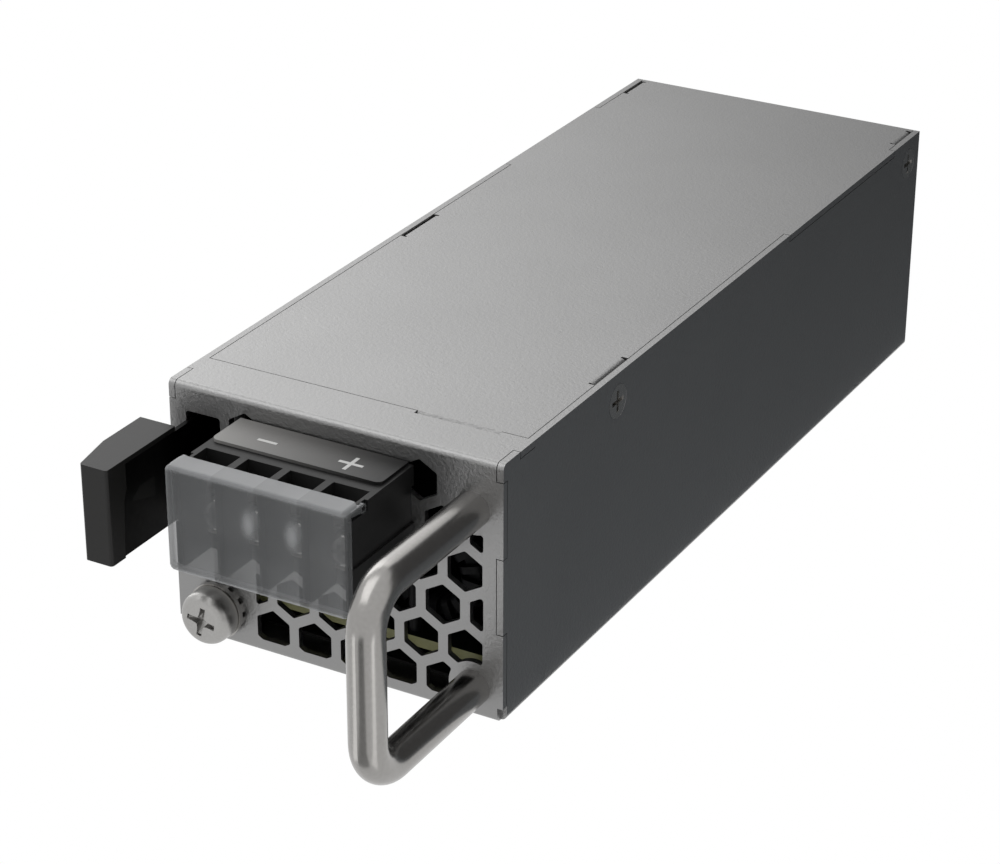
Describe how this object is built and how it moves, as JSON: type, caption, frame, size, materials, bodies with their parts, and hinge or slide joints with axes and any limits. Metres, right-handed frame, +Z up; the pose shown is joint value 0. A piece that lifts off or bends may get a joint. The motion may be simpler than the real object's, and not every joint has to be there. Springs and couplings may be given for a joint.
{
  "type": "rack power supply",
  "caption": "Plug-in rack power supply in a folded steel case with a vented front, bar handle, black release latch, terminal block with hinged frosted flap, earth screw and rear card edge.",
  "frame": {"origin": "centre of the bottom face of the case", "axes": "+X to the right seen from the front, +Y from the front into the rack, +Z up"},
  "size_m": [0.0561, 0.183, 0.0402],
  "materials": {
    "case_steel": "zinc-plated sheet, fine matte grain",
    "screw_steel": "plated, satin",
    "handle_steel": "satin nickel plated",
    "latch_steel": "dark plated spring steel",
    "black_plastic": "moulded, fine matte",
    "cap_plastic": "moulded, satin",
    "frosted_plastic": "frosted translucent",
    "contact_brass": "tin plated brass",
    "gold": "gold plated copper",
    "board_green": "lacquered board",
    "film": "clear film",
    "lead_plastic": "insulated lead",
    "ferrite": "dark matte",
    "winding_tape": "taped coil",
    "can_sleeve": "sleeved can",
    "sink_aluminium": "black to grey extruded"
  },
  "bodies": {
    "case": {"chassis": "case_steel", "top_cover": "case_steel", "cover_screws": "screw_steel", "rear_panel": "case_steel", "handle": "handle_steel", "handle_screws": "screw_steel", "latch_bracket": "case_steel", "latch_rivets": "screw_steel", "latch_pin": "screw_steel", "terminal_housing": "black_plastic", "block_screws": "screw_steel", "terminal_contacts": "contact_brass", "terminal_clamps": "screw_steel", "terminal_screws": "screw_steel", "terminal_label": "black_plastic", "earth_screw": "screw_steel", "earth_flat_washer": "screw_steel", "earth_lock_washer": "screw_steel", "earth_nut": "screw_steel", "main_board": "board_green", "edge_contacts": "gold", "board_spacers": "screw_steel", "board_screws": "screw_steel", "insulating_sheet": "film", "input_leads": "lead_plastic", "choke": "ferrite", "filter_capacitor": "black_plastic", "heat_sinks": "sink_aluminium", "power_transistors": "black_plastic", "transformer_core": "ferrite", "transformer_winding": "winding_tape", "bulk_capacitors": "can_sleeve", "fan_frame": "black_plastic", "fan_screws": "screw_steel"},
    "latch": {"latch_lever": "latch_steel", "latch_cap": "cap_plastic", "latch_spring": "latch_steel"},
    "flap": {"terminal_flap": "frosted_plastic"},
    "rotor": {"fan_rotor": "black_plastic"}
  },
  "joints": [
    {"name": "latch_hinge", "type": "hinge", "parent": "case", "child": "latch", "pos_m": [-0.0222, -0.0265, 0.028], "axis": [0, 0, 1], "range_deg": [0, 4.5], "stiffness_Nm_per_rad": 0.3, "springref_deg": -8.02},
    {"name": "flap_hinge", "type": "hinge", "parent": "case", "child": "flap", "pos_m": [-0.001, -0.0858, 0.0363], "axis": [-1, 0, 0], "range_deg": [0, 90]},
    {"name": "fan_spin", "type": "hinge", "parent": "case", "child": "rotor", "pos_m": [0, 0.064, 0.0225], "axis": [0, 1, 0], "continuous": true}
  ]
}
